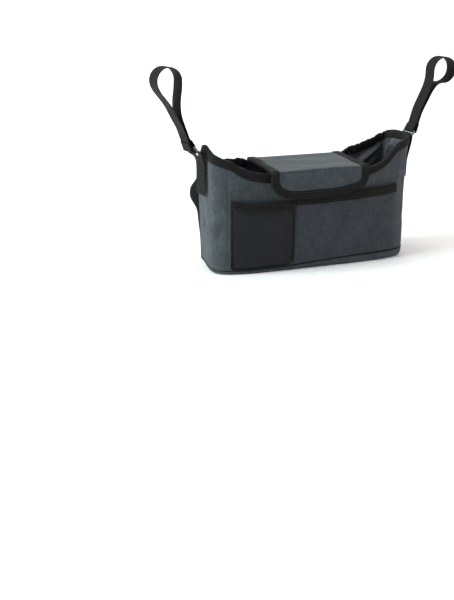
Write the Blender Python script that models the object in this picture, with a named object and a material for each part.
# Stroller organizer: a sewn caddy bag with two open cup pockets at its ends,
# a lidded middle compartment, a phone pocket and a flat pocket on its front,
# and two webbing straps that loop round a handlebar.
#
# Metres, +Z up. X runs along the bag, the front faces -Y, and the origin is
# the centre of the flat bottom. The straps stand up in the shape they have
# when the bag hangs from a bar.
import math
import bpy
import bmesh

# ---------------------------------------------------------------- dimensions
HALF_LEN = 0.163        # half of the bag's length, at its straight ends
BACK_Y = 0.050          # outer face of the back wall
END_Y0 = -0.012         # where the straight ends turn into the front corners
FRONT_DEPTH = 0.0365    # from END_Y0 to the middle of the front wall
CURVE_P = 4.0           # superellipse powers of the front and its corners
CURVE_Q = 3.5
BACK_R = 0.010          # back corner radius
FLARE = 0.0040          # the front leans out this much towards the bottom
FLARE_TOP = 0.120       # height above which the walls stand straight
SHELL_T = 0.0024        # shell panel: melange fabric on its foam backing
GAP = 0.0003            # clearance between touching pieces
SEAM = 0.00015          # half of the clearance at a butted seam
LINING_OUT = 0.0027     # depth of the lining's outer face inside the shell
LINING_IN = 0.0037
FLOOR_Z = 0.0060        # top of the lining's floor
BOTTOM_R = 0.0070       # how far in the bottom panel turns up
SEAM_LEFT_X = -0.141    # upright seam between front and left end
SEAM_RIGHT_X = 0.137
BIND_H = 0.0120         # width of the binding tape on each face
BIND_T = 0.0012

FLAP_HALF_W = 0.0777    # lid flap, without its binding
FLAP_TOP_Z = 0.1580
FLAP_DROP_Z = 0.1163    # bottom edge of the flap's front drop
FLAP_FRONT_Y = -0.0592  # middle of the flap's thickness, front drop
FLAP_BACK_Y = 0.0527
FLAP_BACK_Z = 0.1330
FLAP_R = 0.0150         # rounded lower corners of the drop
FLAP_FOLD_R = 0.0046

POCKET_SPLIT = -0.0372  # edge between the phone pocket and the flat pocket
PHONE_BULGE = 0.0080
FLAT_BULGE = 0.0052

WEB_W = 0.025           # webbing width
WEB_T = 0.0013
ATTACH_X = 0.165        # reference plane of the strap paths
WIRE_R = 0.0016         # ring wire radius
BAR_U = 60.3            # bar loop centre, mm outward of ATTACH_X
BAR_Z = 288.0
LOOP_R = 19.4           # middle of the webbing round the bar, mm
YAW = {"left": -77.0, "right": 92.0}   # outward direction of each strap
RING_TURN = {"left": 2.0, "right": 0.0}     # extra turn of the ring and the webbing on it

# heights of the shell's top edge, before its binding
RIM_FRONT = [(-0.141, 0.1730), (-0.130, 0.1668), (-0.118, 0.1605), (-0.106, 0.1560),
             (-0.095, 0.1535), (-0.0815, 0.1512), (-0.065, 0.1500), (0.0, 0.1490),
             (0.065, 0.1480), (0.0815, 0.1490), (0.095, 0.1528), (0.106, 0.1565),
             (0.114, 0.1612), (0.121, 0.1678), (0.129, 0.1762), (0.137, 0.1836)]
RIM_END = {"left": [(-0.0422, 0.1730), (-0.030, 0.1812), (-0.012, 0.1855), (0.0, 0.1880),
                    (0.013, 0.1896), (0.019, 0.1830), (0.026, 0.1730), (0.040, 0.1620)],
           "right": [(-0.0418, 0.1836), (-0.030, 0.1908), (-0.012, 0.1936), (0.0, 0.1940),
                     (0.013, 0.1935), (0.019, 0.1928), (0.026, 0.1920), (0.040, 0.1890)]}
# the rim stands high at the right back corner and sags at the left one
RIM_BACK = {"left": [(0.0, 0.1505), (0.0798, 0.1508), (0.0815, 0.1545), (0.088, 0.1565),
                     (0.095, 0.1570), (0.108, 0.1568), (0.120, 0.1562), (0.131, 0.1560),
                     (0.142, 0.1568), (0.153, 0.1582)],
            "right": [(0.0, 0.1505), (0.0798, 0.1508), (0.0815, 0.1560), (0.088, 0.1600),
                      (0.095, 0.1628), (0.108, 0.1665), (0.120, 0.1698), (0.131, 0.1735),
                      (0.142, 0.1782), (0.153, 0.1835)]}
# height of the seam between walls and bottom, along the front
BOTTOM_SEAM = [(-0.163, 0.0055), (-0.100, 0.0055), (-0.060, 0.0065), (0.0, 0.0100),
               (0.050, 0.0125), (0.100, 0.0140), (0.163, 0.0140)]

# ------------------------------------------------------------- clean scene
for ob in list(bpy.data.objects):
    bpy.data.objects.remove(ob, do_unlink=True)


# ---------------------------------------------------------------- materials
def material(name, colour, roughness, metallic=0.0):
    m = bpy.data.materials.new(name)
    m.use_nodes = True
    b = m.node_tree.nodes["Principled BSDF"]
    b.inputs["Base Color"].default_value = (*colour, 1.0)
    b.inputs["Roughness"].default_value = roughness
    b.inputs["Metallic"].default_value = metallic
    return m


MELANGE = material("melange_fabric", (0.090, 0.120, 0.130), 0.90)
BLACK = material("black_fabric", (0.012, 0.012, 0.013), 0.80)
LININGM = material("lining_fabric", (0.013, 0.014, 0.017), 0.55)
BINDING = material("binding_tape", (0.018, 0.017, 0.016), 0.85)
MESHM = material("stretch_mesh", (0.010, 0.010, 0.012), 0.80)
WEBBING = material("webbing", (0.030, 0.030, 0.030), 0.75)
FASTENER = material("hook_and_loop", (0.012, 0.012, 0.012), 0.95)
RING = material("ring", (0.50, 0.50, 0.51), 0.35, 1.0)
BOARD = material("stiffener", (0.35, 0.33, 0.30), 0.80)


# ------------------------------------------------------------ small helpers
def lerp_table(table, x):
    if x <= table[0][0]:
        return table[0][1]
    for (x0, y0), (x1, y1) in zip(table, table[1:]):
        if x <= x1:
            t = (x - x0) / (x1 - x0)
            return y0 + (y1 - y0) * t
    return table[-1][1]


def smooth01(t):
    t = min(1.0, max(0.0, t))
    return t * t * (3.0 - 2.0 * t)


def finish(name, verts, faces, mat, smooth=True, angle=35.0):
    me = bpy.data.meshes.new(name)
    me.from_pydata([tuple(v) for v in verts], [], faces)
    bm = bmesh.new()
    bm.from_mesh(me)
    bmesh.ops.recalc_face_normals(bm, faces=bm.faces)
    if bm.calc_volume(signed=True) < 0.0:
        bmesh.ops.reverse_faces(bm, faces=bm.faces)
    bm.to_mesh(me)
    bm.free()
    me.validate()
    if smooth:
        me.shade_smooth()
        me.set_sharp_from_angle(angle=math.radians(angle))
    me.materials.append(mat)
    ob = bpy.data.objects.new(name, me)
    bpy.context.scene.collection.objects.link(ob)
    return ob


def slab(name, outer, inner, mat):
    """A closed sheet between two grids of points of the same size."""
    n, m = len(outer), len(outer[0])
    verts = [p for row in outer for p in row] + [p for row in inner for p in row]
    o = lambda i, k: i * m + k
    q = lambda i, k: n * m + i * m + k
    faces = []
    for i in range(n - 1):
        for k in range(m - 1):
            faces.append((o(i, k), o(i + 1, k), o(i + 1, k + 1), o(i, k + 1)))
            faces.append((q(i, k), q(i, k + 1), q(i + 1, k + 1), q(i + 1, k)))
    for i in range(n - 1):
        faces.append((o(i, 0), q(i, 0), q(i + 1, 0), o(i + 1, 0)))
        faces.append((o(i, m - 1), o(i + 1, m - 1), q(i + 1, m - 1), q(i, m - 1)))
    for k in range(m - 1):
        faces.append((o(0, k), o(0, k + 1), q(0, k + 1), q(0, k)))
        faces.append((o(n - 1, k), q(n - 1, k), q(n - 1, k + 1), o(n - 1, k + 1)))
    return finish(name, verts, faces, mat)


def sweep(name, sections, mat, closed=False, angle=35.0):
    """A closed body through a row of sections with the same number of points."""
    n, m = len(sections), len(sections[0])
    verts = [p for s in sections for p in s]
    faces = []
    for i in range(n if closed else n - 1):
        j = (i + 1) % n
        for k in range(m):
            l = (k + 1) % m
            faces.append((i * m + k, j * m + k, j * m + l, i * m + l))
    if not closed:
        faces.append(tuple(range(m)))
        faces.append(tuple((n - 1) * m + k for k in reversed(range(m))))
    return finish(name, verts, faces, mat, angle=angle)


# ------------------------------------------------ outline of the bag in plan
# Stations run counter-clockwise seen from above, from the middle of the back.
def front_x_of(v):
    return HALF_LEN * (1.0 - v ** CURVE_Q) ** (1.0 / CURVE_P)


def front_v_of(x):
    return (1.0 - (abs(x) / HALF_LEN) ** CURVE_P) ** (1.0 / CURVE_Q)


def front_point(x, v):
    y = END_Y0 - FRONT_DEPTH * v
    gx = CURVE_P / HALF_LEN * (abs(x) / HALF_LEN) ** (CURVE_P - 1.0)
    gy = CURVE_Q / FRONT_DEPTH * v ** (CURVE_Q - 1.0)
    g = math.hypot(gx, gy)
    return (x, y, math.copysign(gx / g, x) if x else 0.0, -gy / g)


class Station:
    def __init__(self, x, y, nx, ny, rim):
        self.x, self.y, self.nx, self.ny, self.rim = x, y, nx, ny, rim


STATIONS = []


def add_station(x, y, nx, ny, rim):
    STATIONS.append(Station(x, y, nx, ny, rim))
    return len(STATIONS) - 1


BACK_XS = [0.0, 0.030, 0.060, 0.0798, 0.0815, 0.088, 0.095, 0.108, 0.120, 0.131, 0.142]
CORNER_VS = [0.15, 0.30, 0.43, 0.55, 0.66, 0.74]
END_YS = [0.040, 0.026, 0.019, 0.013, 0.0, -0.012]
FRONT_XS = [-0.141, -0.130, -0.118, -0.106, -0.095, -0.0815, -0.065, -0.050, -0.0372,
            -0.019, 0.0, 0.020, 0.042, 0.064, 0.0815, 0.095, 0.106, 0.114, 0.121,
            0.129, 0.137]
MARK = {}
for x in BACK_XS:
    i = add_station(-x, BACK_Y, 0.0, 1.0, lerp_table(RIM_BACK["left"], x))
    if x == 0.0815:
        MARK["flap_left"] = i
for k in range(6):                                   # back left corner
    a = math.radians(90.0 + 18.0 * k)
    x = -(HALF_LEN - BACK_R) + BACK_R * math.cos(a)
    y = BACK_Y - BACK_R + BACK_R * math.sin(a)
    r = RIM_BACK["left"][-1][1] + (RIM_END["left"][-1][1] - RIM_BACK["left"][-1][1]) * k / 5.0
    i = add_station(x, y, math.cos(a), math.sin(a), r)
MARK["left_back"] = i
for y in END_YS[1:]:
    i = add_station(-HALF_LEN, y, -1.0, 0.0, lerp_table(RIM_END["left"], y))
    if y == 0.013:
        MARK["left_peak"] = i
for v in CORNER_VS:
    x, y, nx, ny = front_point(-front_x_of(v), v)
    add_station(x, y, nx, ny, lerp_table(RIM_END["left"], y))
for x in FRONT_XS:
    px, y, nx, ny = front_point(x, front_v_of(x))
    i = add_station(px, y, nx, ny, lerp_table(RIM_FRONT, x))
    if x == FRONT_XS[0]:
        MARK["seam_left"] = i
    if x == -0.0372:
        MARK["split"] = i
MARK["seam_right"] = i
for v in reversed(CORNER_VS):
    x, y, nx, ny = front_point(front_x_of(v), v)
    add_station(x, y, nx, ny, lerp_table(RIM_END["right"], y))
for y in reversed(END_YS[1:]):
    i = add_station(HALF_LEN, y, 1.0, 0.0, lerp_table(RIM_END["right"], y))
    if y == 0.013:
        MARK["right_peak"] = i
for k in range(6):                                   # back right corner
    a = math.radians(18.0 * k)
    x = HALF_LEN - BACK_R + BACK_R * math.cos(a)
    y = BACK_Y - BACK_R + BACK_R * math.sin(a)
    r = RIM_END["right"][-1][1] + (RIM_BACK["right"][-1][1] - RIM_END["right"][-1][1]) * k / 5.0
    i = add_station(x, y, math.cos(a), math.sin(a), r)
    if k == 0:
        MARK["right_back"] = i
for x in reversed(BACK_XS[1:]):
    i = add_station(x, BACK_Y, 0.0, 1.0, lerp_table(RIM_BACK["right"], x))
    if x == 0.0815:
        MARK["flap_right"] = i
COUNT = len(STATIONS)


def station(f):
    """The outline at a fractional station number."""
    i = int(math.floor(f + 1e-9))
    t = f - i
    a = STATIONS[i % COUNT]
    if t < 1e-9:
        return a
    b = STATIONS[(i + 1) % COUNT]
    nx, ny = a.nx + (b.nx - a.nx) * t, a.ny + (b.ny - a.ny) * t
    return Station(a.x + (b.x - a.x) * t, a.y + (b.y - a.y) * t, nx, ny,
                   a.rim + (b.rim - a.rim) * t)


def shifted(i, dist):
    """Station number moved along the outline by dist metres."""
    j = i + 1 if dist > 0 else i - 1
    a, b = STATIONS[i % COUNT], STATIONS[j % COUNT]
    return i + dist / math.hypot(b.x - a.x, b.y - a.y)


def span(i0, i1, trim=SEAM):
    """Station numbers from i0 to i1 with both ends trimmed for the seams."""
    return [shifted(i0, trim)] + [float(i) for i in range(i0 + 1, i1)] + [shifted(i1, -trim)]


def pos(f, z, d):
    """A point of the wall: station f, height z, depth d inside the shell."""
    s = station(f) if not isinstance(f, Station) else f
    lean = FLARE * max(0.0, 1.0 - z / FLARE_TOP) * max(0.0, -s.ny) ** 2
    off = lean - d
    return (s.x + s.nx * off, s.y + s.ny * off, z)


def seam_z(f):
    s = station(f)
    if s.y > END_Y0:
        side = BOTTOM_SEAM[0][1] if s.x < 0 else BOTTOM_SEAM[-1][1]
        t = smooth01(0.5 + s.x / (2.0 * HALF_LEN))
        return BOTTOM_SEAM[0][1] + (BOTTOM_SEAM[-1][1] - BOTTOM_SEAM[0][1]) * t \
            if abs(s.x) < HALF_LEN - 1e-6 else side
    return lerp_table(BOTTOM_SEAM, s.x)


# ----------------------------------------------------------------- the shell
def wall_rows(bottom, top):
    rows = [bottom, 0.045, 0.085, FLARE_TOP]
    return rows + [top]


def wall_panel(name, fs, mat, bulge=None, rows=None, d0=0.0, d1=SHELL_T):
    outer, inner = [], []
    for f in fs:
        s = station(f)
        zs = (rows or wall_rows)(seam_z(f) + SEAM, s.rim)
        ro, ri = [], []
        for z in zs:
            b = bulge(s, z) if bulge else 0.0
            ro.append(pos(s, z, d0 - b))
            ri.append(pos(s, z, d1 - b))
        outer.append(ro)
        inner.append(ri)
    return slab(name, outer, inner, mat)


wall_panel("front_panel", span(MARK["seam_left"], MARK["seam_right"]), MELANGE)
wall_panel("left_end_panel", span(MARK["left_back"], MARK["seam_left"]), MELANGE)
wall_panel("right_end_panel", span(MARK["seam_right"], MARK["right_back"]), MELANGE)


# The back wall is cut fuller than its elastic rim, so it puffs out at the
# back corners, behind each cup pocket.
PUFF_Z = 0.107


def puff(s, z):
    t = (BACK_Y - s.y) / BACK_R                      # 0 on the back, 1 at the end seam
    if t > 0.0:
        along = 1.0 - smooth01((t - 0.35) / 0.65)
    else:
        along = 1.0 - smooth01((HALF_LEN - BACK_R - abs(s.x)) / 0.068)
    lobe = 0.0125 * math.exp(-(abs(z - PUFF_Z) / 0.0190) ** 2.8)
    broad = 0.0034 * smooth01((z - 0.020) / 0.05) * smooth01((0.165 - z) / 0.05)
    free = smooth01((s.rim - BIND_H - 0.0005 - z) / 0.018)      # held flat under the elastic
    return along * (lobe + broad) * free


def back_rows(bottom, top):
    held = top - BIND_H - 0.0005
    return [bottom, 0.030, 0.055, 0.072, 0.083, 0.092, 0.101, 0.113, 0.122, 0.131,
            0.5 * (0.131 + held), held, top]


wall_panel("back_panel", [shifted(MARK["right_back"], SEAM)]
           + [float(i) for i in range(MARK["right_back"] + 1, COUNT + MARK["left_back"])]
           + [shifted(COUNT + MARK["left_back"], -SEAM)], BLACK, bulge=puff, rows=back_rows)


# ----------------------------------------------------------- bottom and tub
def ring_body(name, profile_rings, mat, floor_out, floor_in):
    """A tray or tub: rings of points round the outline, closed by two floors."""
    verts, faces = [], []
    m = COUNT
    for ring in profile_rings:
        verts += ring
    r = len(profile_rings)
    for j in range(r - 1):
        for i in range(m):
            k = (i + 1) % m
            faces.append((j * m + i, j * m + k, (j + 1) * m + k, (j + 1) * m + i))
    c0 = len(verts)
    verts.append((0.0, 0.0, floor_out))
    verts.append((0.0, 0.0, floor_in))
    for i in range(m):
        k = (i + 1) % m
        faces.append((c0, k, i))
        faces.append((c0 + 1, (r - 1) * m + i, (r - 1) * m + k))
    return finish(name, verts, faces, mat)


rings = []
for th in (90.0, 66.0, 40.0, 18.0, 0.0):             # outer face, floor to seam
    c, s_ = math.cos(math.radians(th)), math.sin(math.radians(th))
    rings.append([pos(float(i), (seam_z(i) - SEAM) * (1.0 - s_), BOTTOM_R * (1.0 - c))
                  for i in range(COUNT)])
for th in (0.0, 25.0, 55.0, 90.0):                   # inner face, seam to floor
    c, s_ = math.cos(math.radians(th)), math.sin(math.radians(th))
    rings.append([pos(float(i), SHELL_T + (seam_z(i) - SEAM - SHELL_T) * (1.0 - s_),
                      SHELL_T + (BOTTOM_R - SHELL_T) * (1.0 - c))
                  for i in range(COUNT)])
ring_body("bottom_panel", rings, MELANGE, 0.0, SHELL_T)

TUB_OUT = [(LINING_OUT, FLARE_TOP), (LINING_OUT, 0.0170), (0.0036, 0.0110),
           (0.0060, 0.0070), (0.0095, 0.0050)]
TUB_IN = [(0.0100, FLOOR_Z), (0.0068, 0.0078), (0.0046, 0.0116), (LINING_IN, 0.0172),
          (LINING_IN, FLARE_TOP)]
rings = [[pos(float(i), z, d) for i in range(COUNT)] for d, z in reversed(TUB_OUT)]
rings.append([pos(float(i), STATIONS[i].rim, LINING_OUT) for i in range(COUNT)])
rings.append([pos(float(i), STATIONS[i].rim, LINING_IN) for i in range(COUNT)])
rings += [[pos(float(i), z, d) for i in range(COUNT)] for d, z in reversed(TUB_IN)]
ring_body("lining", rings, LININGM, 0.0050, FLOOR_Z)

# base stiffener, a flat board between the bottom panel and the lining
low = [pos(float(i), 0.0027, 0.0105) for i in range(COUNT)]
high = [pos(float(i), 0.0047, 0.0105) for i in range(COUNT)]
ring_body("bottom_board", [low, high], BOARD, 0.0027, 0.0047)


# Two fabric walls part the middle from the cup pockets.
def divider(name, x):
    half_t = 0.0009
    prof = []
    for z, d in ((0.0064, 0.0112), (0.0116, 0.0054), (0.0175, 0.0042), (FLARE_TOP, 0.0041),
                 (0.1352, 0.0041)):
        v = front_v_of(x)
        y = END_Y0 - FRONT_DEPTH * v
        y -= FLARE * max(0.0, 1.0 - z / FLARE_TOP)
        prof.append((y + d + 0.0002, BACK_Y - d - 0.0002, z))
    outline = [(a, z) for a, b, z in prof] + [(b, z) for a, b, z in reversed(prof)]
    sweep(name, [[(x - half_t, y, z) for y, z in outline],
                 [(x + half_t, y, z) for y, z in outline]], LININGM)


divider("left_divider", -0.0795)
divider("right_divider", 0.0795)


# --------------------------------------------------------------- rim binding
def binding_section(f, top, d_out, d_in, height, t=BIND_T):
    """U-shaped tape over an edge whose faces are at depths d_out and d_in."""
    s = station(f)
    a, b = d_out - GAP, d_in + GAP
    return [pos(s, top - height, a - t), pos(s, top + GAP + 0.5 * t, a - t),
            pos(s, top + GAP + t, a - 0.5 * t), pos(s, top + GAP + t, b + 0.5 * t),
            pos(s, top + GAP + 0.5 * t, b + t), pos(s, top - height, b + t),
            pos(s, top - height, b), pos(s, top + GAP, b),
            pos(s, top + GAP, a), pos(s, top - height, a)]


def rim_binding(name, fs):
    sweep(name, [binding_section(f, station(f).rim, 0.0, LINING_IN, BIND_H) for f in fs],
          BINDING)


rim_binding("front_rim_binding", span(MARK["left_peak"], MARK["right_peak"]))
left_end = MARK["flap_left"]
right_end = MARK["flap_right"]
rim_binding("left_back_rim_elastic",
            [shifted(left_end, 0.0006)] + [float(i) for i in range(left_end + 1, MARK["left_peak"])]
            + [shifted(MARK["left_peak"], -SEAM)])
rim_binding("right_back_rim_elastic",
            [shifted(MARK["right_peak"], SEAM)]
            + [float(i) for i in range(MARK["right_peak"] + 1, right_end)]
            + [shifted(right_end, -0.0006)])

# ------------------------------------------- piping in the seam to the bottom
sections = []
for i in range(COUNT):
    z = seam_z(i)
    sections.append([pos(float(i), z + 0.0012 * math.sin(math.radians(60.0 * k)),
                         -0.0015 + 0.0012 * math.cos(math.radians(60.0 * k))) for k in range(6)])
sweep("bottom_piping", sections, BINDING, closed=True, angle=70.0)


# ------------------------------------------------------------- front pockets
def fraction_span(x0, x1):
    """Station numbers between two x positions on the front."""
    def find(x):
        for i in range(MARK["seam_left"], MARK["seam_right"]):
            a, b = STATIONS[i].x, STATIONS[i + 1].x
            if a <= x <= b:
                return i + (x - a) / (b - a)
        return float(MARK["seam_right"])
    f0, f1 = find(x0), find(x1)
    inside = [float(i) for i in range(MARK["seam_left"], MARK["seam_right"] + 1)
              if f0 + 0.15 < i < f1 - 0.15]
    return [f0] + inside + [f1]


def pocket(name, x0, x1, top, bulge, t, mat, corner=0.0):
    """A pocket sheet sewn down at its sides and bottom, open at the top."""
    fs = fraction_span(x0, x1)

    def stand(x, z, z0, z1):
        u = (x - x0) / (x1 - x0)
        side = (4.0 * u * (1.0 - u)) ** 0.45 if 0.0 < u < 1.0 else 0.0
        up = 1.0 - (1.0 - min(1.0, max(0.0, (z - z0) / (z1 - z0)))) ** 3
        return GAP + bulge * side * up

    outer, inner, heights = [], [], []
    for f in fs:
        s = station(f)
        z0 = seam_z(f) + 0.0019
        z1 = top(s.x)
        ro, ri = [], []
        for k in range(7):
            w = k / 6.0
            z = z0 + (z1 - z0) * w ** 1.35
            g = stand(s.x, z, z0, z1)
            ri.append(pos(s, z, -g))
            ro.append(pos(s, z, -g - t))
        outer.append(ro)
        inner.append(ri)
        heights.append((f, z1, stand(s.x, z1, z0, z1), z0))
    slab(name, outer, inner, mat)
    return fs, heights, stand


def pocket_binding(name, fs, heights, stand, t, height, trim):
    """Tape folded over the pocket's open edge, both legs follow its sheet."""
    sections = []
    first, last = fs[0], fs[-1]
    for f, z1, g, z0 in heights:
        s = station(f)
        zl = z1 - height
        gl = stand(s.x, zl, z0, z1)
        top = z1 + GAP + 0.0008
        tape = 0.0008
        sections.append([pos(s, zl, -gl - t - GAP - tape), pos(s, z1, -g - t - GAP - tape),
                         pos(s, top, -g - t - GAP - 0.3 * tape),
                         pos(s, top, -g + GAP * 0.5), pos(s, z1 + GAP, -g + GAP * 0.6),
                         pos(s, z1 + GAP, -g - t - GAP), pos(s, zl, -gl - t - GAP)])
    sweep(name, sections, BINDING)


phone_top = lambda x: lerp_table([(-0.141, 0.1145), (-0.110, 0.1110), (-0.080, 0.1092),
                                  (-0.037, 0.1092)], x)
flat_top = lambda x: lerp_table([(-0.037, 0.1150), (0.020, 0.1160), (0.064, 0.1180),
                                 (0.137, 0.1212)], x)
fs, hs, st = pocket("phone_pocket_mesh", -0.1366, -0.0380, phone_top, PHONE_BULGE, 0.0008, MESHM)
pocket_binding("phone_pocket_binding", fs, hs, st, 0.0008, 0.0125, 0.0)
fs, hs, st = pocket("front_pocket_panel", -0.0364, 0.1362, flat_top, FLAT_BULGE, 0.0014, MELANGE)
pocket_binding("front_pocket_binding", fs, hs, st, 0.0014, 0.0125, 0.0)


# ----------------------------------------------------------------- lid flap
# Middle line of the flap in the YZ plane: sewn to the back wall, over the
# top, folded down over the front.
def flap_line():
    zt = FLAP_TOP_Z - 0.00165
    r = 0.0050
    pts = [(FLAP_BACK_Y, FLAP_BACK_Z), (FLAP_BACK_Y, 0.5 * (FLAP_BACK_Z + zt - r))]
    for k in range(5):
        a = math.radians(22.5 * k)
        pts.append((FLAP_BACK_Y - r + r * math.cos(a), zt - r + r * math.sin(a)))
    y0, y1 = FLAP_BACK_Y - r, FLAP_FRONT_Y + FLAP_FOLD_R
    for k in range(1, 6):
        pts.append((y0 + (y1 - y0) * k / 6.0, zt))
    for k in range(5):
        a = math.radians(90.0 + 22.5 * k)
        pts.append((FLAP_FRONT_Y + FLAP_FOLD_R + FLAP_FOLD_R * math.cos(a),
                    zt - FLAP_FOLD_R + FLAP_FOLD_R * math.sin(a)))
    zs = zt - FLAP_FOLD_R
    steps = [0.40, 0.72]
    for w in steps:
        pts.append((FLAP_FRONT_Y, zs + (FLAP_DROP_Z + FLAP_R - zs) * w))
    for k in range(6):
        rem = FLAP_R * (1.0 - math.sin(math.radians(18.0 * k)))
        pts.append((FLAP_FRONT_Y, FLAP_DROP_Z + rem))
    return pts


LINE = flap_line()
CUM = [0.0]
for (ya, za), (yb, zb) in zip(LINE, LINE[1:]):
    CUM.append(CUM[-1] + math.hypot(yb - ya, zb - za))
FLAP_LEN = CUM[-1]


def flap_normals():
    out = []
    for i in range(len(LINE)):
        a, b = LINE[max(0, i - 1)], LINE[min(len(LINE) - 1, i + 1)]
        ty, tz = b[0] - a[0], b[1] - a[1]
        g = math.hypot(ty, tz)
        out.append((tz / g, -ty / g))
    return out


NORM = flap_normals()


def flap_at(b):
    """Point and outward normal of the flap's middle line at length b."""
    b = min(FLAP_LEN, max(0.0, b))
    for i in range(len(CUM) - 1):
        if b <= CUM[i + 1] + 1e-12:
            t = (b - CUM[i]) / (CUM[i + 1] - CUM[i])
            y = LINE[i][0] + (LINE[i + 1][0] - LINE[i][0]) * t
            z = LINE[i][1] + (LINE[i + 1][1] - LINE[i][1]) * t
            ny = NORM[i][0] + (NORM[i + 1][0] - NORM[i][0]) * t
            nz = NORM[i][1] + (NORM[i + 1][1] - NORM[i][1]) * t
            return y, z, ny, nz
    return LINE[-1][0], LINE[-1][1], NORM[-1][0], NORM[-1][1]


def flap_point(a, b, h):
    y, z, ny, nz = flap_at(b)
    return (a, y + ny * h, z + nz * h)


def flap_half_width(b):
    rem = FLAP_LEN - b
    if rem >= FLAP_R:
        return FLAP_HALF_W
    return FLAP_HALF_W - FLAP_R + math.sqrt(max(0.0, FLAP_R ** 2 - (FLAP_R - rem) ** 2))


def flap_sheet(name, h0, h1, mat):
    cols = [-1.0, -0.8, -0.4, 0.0, 0.4, 0.8, 1.0]
    outer = [[flap_point(c * flap_half_width(b), b, h1) for c in cols] for b in CUM]
    inner = [[flap_point(c * flap_half_width(b), b, h0) for c in cols] for b in CUM]
    slab(name, outer, inner, mat)


flap_sheet("lid_flap", 0.00015, 0.00165, MELANGE)
flap_sheet("lid_flap_lining", -0.00105, -0.00015, LININGM)


def flap_edge():
    """Edge points of the flap with their inward directions, left to right."""
    side = []
    for i, b in enumerate(CUM):
        rem = FLAP_LEN - b
        if rem >= FLAP_R - 1e-9:
            side.append((FLAP_HALF_W, b, -1.0, 0.0))
        else:
            sn = (FLAP_R - rem) / FLAP_R
            cs = math.sqrt(max(0.0, 1.0 - sn * sn))
            side.append((FLAP_HALF_W - FLAP_R + FLAP_R * cs, b, -cs, -sn))
    left = [(-a, b, -ia, ib) for a, b, ia, ib in side]
    bottom = [(x, FLAP_LEN, 0.0, -1.0) for x in (-0.045, -0.022, 0.0, 0.022, 0.045)]
    return left + bottom + side[::-1]


sections = []
for a, b, ia, ib in flap_edge():
    def at(inward, h):
        bb = b + ib * inward
        if bb > FLAP_LEN:                            # just past the drop's end
            y, z, ny, nz = flap_at(FLAP_LEN)
            return (a + ia * inward, y + ny * h, z - (bb - FLAP_LEN) + nz * h)
        return flap_point(a + ia * inward, bb, h)
    w = 0.0110
    sections.append([at(w, 0.00285), at(0.5 * w, 0.00285), at(-0.0006, 0.00285),
                     at(-0.0013, 0.0019), at(-0.0013, -0.0013), at(-0.0006, -0.00225),
                     at(w, -0.00225), at(w, -0.00135), at(-0.0003, -0.00135),
                     at(-0.0003, 0.00195), at(w, 0.00195)])
sweep("lid_flap_binding", sections, BINDING)


# ------------------------------------------------------- straps and fittings
def frame_of(side, yaw, turn):
    sx = -1.0 if side == "left" else 1.0
    a, b = math.radians(yaw), math.radians(yaw + turn)
    o = (math.sin(a), -math.cos(a))
    w = (math.cos(b), math.sin(b))
    return sx, o, w


def place(side, yaw, u, s, z, turn=0.0):
    """u mm outward and z mm up, s metres along the webbing's width."""
    sx, o, w = frame_of(side, yaw, turn)
    return (sx * ATTACH_X + o[0] * u * 0.001 + w[0] * s, o[1] * u * 0.001 + w[1] * s, z * 0.001)


def ribbon(name, side, path, thick, width, mat, yaws=None, turns=None, lats=None):
    """Flat tape along a path of (u, z) in mm, its width across the path.
    lats moves it sideways, in metres along its width."""
    n = len(path)
    sections = []
    for i, (u, z) in enumerate(path):
        a = path[max(0, i - 1)]
        b = path[min(n - 1, i + 1)]
        d1 = (u - a[0], z - a[1])
        d2 = (b[0] - u, b[1] - z)
        l1, l2 = math.hypot(*d1), math.hypot(*d2)
        t = [0.0, 0.0]
        if l1 > 1e-9:
            t[0] += d1[0] / l1
            t[1] += d1[1] / l1
        if l2 > 1e-9:
            t[0] += d2[0] / l2
            t[1] += d2[1] / l2
        g = math.hypot(*t)
        t = (t[0] / g, t[1] / g)
        k = 1.0
        if l1 > 1e-9 and l2 > 1e-9:                  # mitre, so thickness stays true
            k = 1.0 / max(0.7, (d1[0] * t[0] + d1[1] * t[1]) / l1)
        m = (-t[1] * k, t[0] * k)
        h = thick * 500.0
        yaw = yaws[i] if yaws else YAW[side]
        turn = turns[i] if turns else RING_TURN[side]
        s0 = (lats[i] if lats else 0.0) - 0.5 * width
        s1 = s0 + width
        sections.append([place(side, yaw, u + m[0] * h, s0, z + m[1] * h, turn),
                         place(side, yaw, u + m[0] * h, s1, z + m[1] * h, turn),
                         place(side, yaw, u - m[0] * h, s1, z - m[1] * h, turn),
                         place(side, yaw, u - m[0] * h, s0, z - m[1] * h, turn)])
    sweep(name, sections, mat)


def arc(c, r, a0, a1, n):
    return [(c[0] + r * math.cos(math.radians(a0 + (a1 - a0) * k / n)),
             c[1] + r * math.sin(math.radians(a0 + (a1 - a0) * k / n))) for k in range(n + 1)]


RING_TOP = {"left": (23.5, 193.0), "right": (12.9, 195.8)}
# from each ring's lower bar to its upper bar, mm
RING_STEP = {"left": (5.3, 7.9), "right": (3.9, 5.8)}
LEG_ANGLE = {"left": 21.0, "right": 15.5}   # lean of the doubled leg from upright
WRAP = WIRE_R * 1000 + 0.3 + 500.0 * WEB_T  # middle of the webbing round a bar
LEG_OUT = {"left": 1.7, "right": 1.0}       # the standing leg, out of the ring's line
TAIL_END = {"left": -6.5, "right": -2.5}    # how far the free tail passes the ring
UPPER_INNER = {"left": [(42.6, 240.0), (44.0, 252.0), (43.4, 264.0), (41.7, 276.0)],
               "right": [(29.4, 243.5), (34.6, 255.0), (39.2, 267.0), (41.0, 278.0)]}
UPPER_OUTER = {"left": [(78.9, 283.5), (74.6, 274.5), (66.6, 264.5), (57.4, 252.5),
                        (50.6, 240.5), (45.2, 230.5)],
               "right": [(50.2, 266.6), (44.7, 261.4), (39.6, 253.4), (34.0, 242.0)]}
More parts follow.
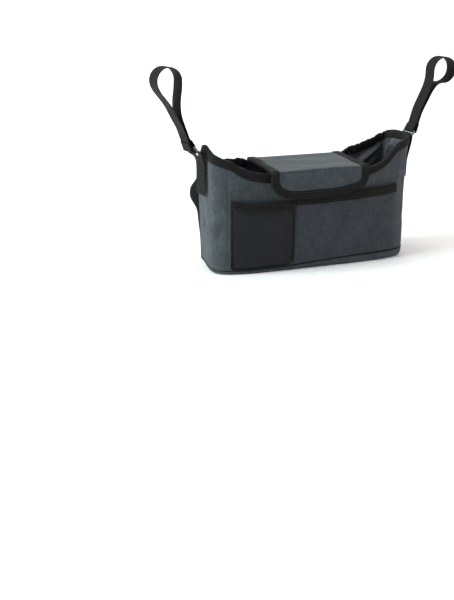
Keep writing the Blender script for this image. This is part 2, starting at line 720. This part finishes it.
OUTER_TURN = {"left": 0.0, "right": -98.0}

for side in ("left", "right"):
    th = math.radians(LEG_ANGLE[side])
    e = (math.sin(th), math.cos(th))                 # up the leg
    m = (math.cos(th), -math.sin(th))                # towards the outside
    c = RING_TOP[side]

    def leg(along, out):
        return (c[0] + e[0] * along + m[0] * out, c[1] + e[1] * along + m[1] * out)

    base = -LEG_ANGLE[side]
    # the short end folded round the ring, then the standing leg
    out = LEG_OUT[side]
    path = [leg(10.5, -0.80), leg(8.0, -0.95), leg(4.0, -1.9)]
    path += arc(c, WRAP, base - 180.0, base, 8)
    path += [leg(4.0, 1.95), leg(8.0, 1.1 + 0.10 * out), leg(11.5, 0.8 + 0.35 * (out - 0.8)),
             leg(15.5, out), leg(26.0, out), leg(36.0, out)]
    path += UPPER_INNER[side]
    bar = (BAR_U, BAR_Z)
    path += arc(bar, LOOP_R, 172.5, 7.5, 11)
    if side == "right":
        path += arc(bar, LOOP_R, -7.5, OUTER_TURN[side], 6)
    path += UPPER_OUTER[side]
    far = out + 3.2
    path += [leg(33.0, far + 0.35), leg(28.0, far), leg(12.0, far), leg(3.0, far),
             leg(TAIL_END[side], far)]
    ribbon(side + "_handle_strap", side, path, WEB_T, WEB_W, WEBBING)
    # fastener strips between the standing leg and the tail
    ribbon(side + "_strap_loop_tape", side, [leg(16.0, out + 1.2), leg(26.0, out + 1.2)],
           0.0005, 0.020, FASTENER)
    ribbon(side + "_strap_hook_tape", side, [leg(7.0, out + 2.0), leg(26.0, out + 2.0)],
           0.0005, 0.020, FASTENER)

    # rectangular ring
    step = RING_STEP[side]
    lower = (c[0] - step[0], c[1] - step[1])
    mid = ((c[0] + lower[0]) / 2.0, (c[1] + lower[1]) / 2.0)
    half = math.hypot(*step) / 2.0
    up = (step[0] / (2.0 * half), step[1] / (2.0 * half))
    nrm = (up[1], -up[0])
    half_s, cr = 14.7, 3.0
    loop = []
    for cx_, cz_, a0 in ((half_s - cr, half - cr, 0.0), (-(half_s - cr), half - cr, 90.0),
                         (-(half_s - cr), -(half - cr), 180.0), (half_s - cr, -(half - cr), 270.0)):
        for k in range(4):
            a = math.radians(a0 + 30.0 * k)
            loop.append((cx_ + cr * math.cos(a), cz_ + cr * math.sin(a), math.cos(a), math.sin(a)))
    sections = []
    for s_, v_, ns, nv in loop:
        sec = []
        for k in range(8):
            q = math.radians(45.0 * k)
            rad, ax = WIRE_R * 1000 * math.cos(q), WIRE_R * 1000 * math.sin(q)
            s2, v2 = s_ + ns * rad, v_ + nv * rad
            sec.append(place(side, YAW[side], mid[0] + up[0] * v2 + nrm[0] * ax, s2 * 0.001,
                             mid[1] + up[1] * v2 + nrm[1] * ax, RING_TURN[side]))
        sections.append(sec)
    sweep(side + "_ring", sections, RING, closed=True, angle=60.0)

    # side webbing: sewn to the end, round the ring's lower bar, free tail
    straight = -90.0 if side == "left" else 90.0
    if side == "left":                               # its sewn leg stands further back
        wp = [(-0.9, 142.0), (-0.9, 149.0), (-0.9, 156.0), (0.9, 162.8), (1.5, 171.5),
              (7.0, 182.0), (12.4, 185.4)]
        wy = [0.0, 0.0, 0.0, 0.0, 0.1, 0.4, 0.75]
        lat = [-0.0110, -0.0110, -0.0110, -0.0110, -0.0095, -0.0060, -0.0022]
        ar = arc(lower, WRAP, 128.0, -25.0, 7)
        down = [(19.6, 181.6), (15.0, 178.4), (10.6, 174.9), (7.8, 170.6), (6.4, 165.0),
                (6.0, 158.0), (6.0, 138.0), (6.0, 118.0)]
    else:
        wp = [(-0.9, 148.0), (-0.9, 157.0), (-0.9, 165.0), (0.75, 171.5), (1.05, 180.0),
              (2.4, 184.4)]
        wy = [0.0, 0.0, 0.0, 0.0, 0.1, 0.5]
        lat = [0.0] * 6
        ar = arc(lower, WRAP, 158.0, -25.0, 7)
        down = []
        for z in (181.0, 172.0, 162.0, 152.0, 140.0, 124.5):
            t = smooth01((lower[1] - z) / (lower[1] - 145.0))
            down.append((lower[0] + 2.3 + (4.4 - lower[0] - 2.3) * t, z))
    wp += ar + down
    wy += [1.0] * (len(ar) + len(down))
    lat += [0.0] * (len(ar) + len(down))
    yaws = [straight + (YAW[side] - straight) * w for w in wy]
    ribbon(side + "_side_webbing", side, wp, WEB_T, WEB_W, WEBBING, yaws,
           [RING_TURN[side] * w for w in wy], lat)
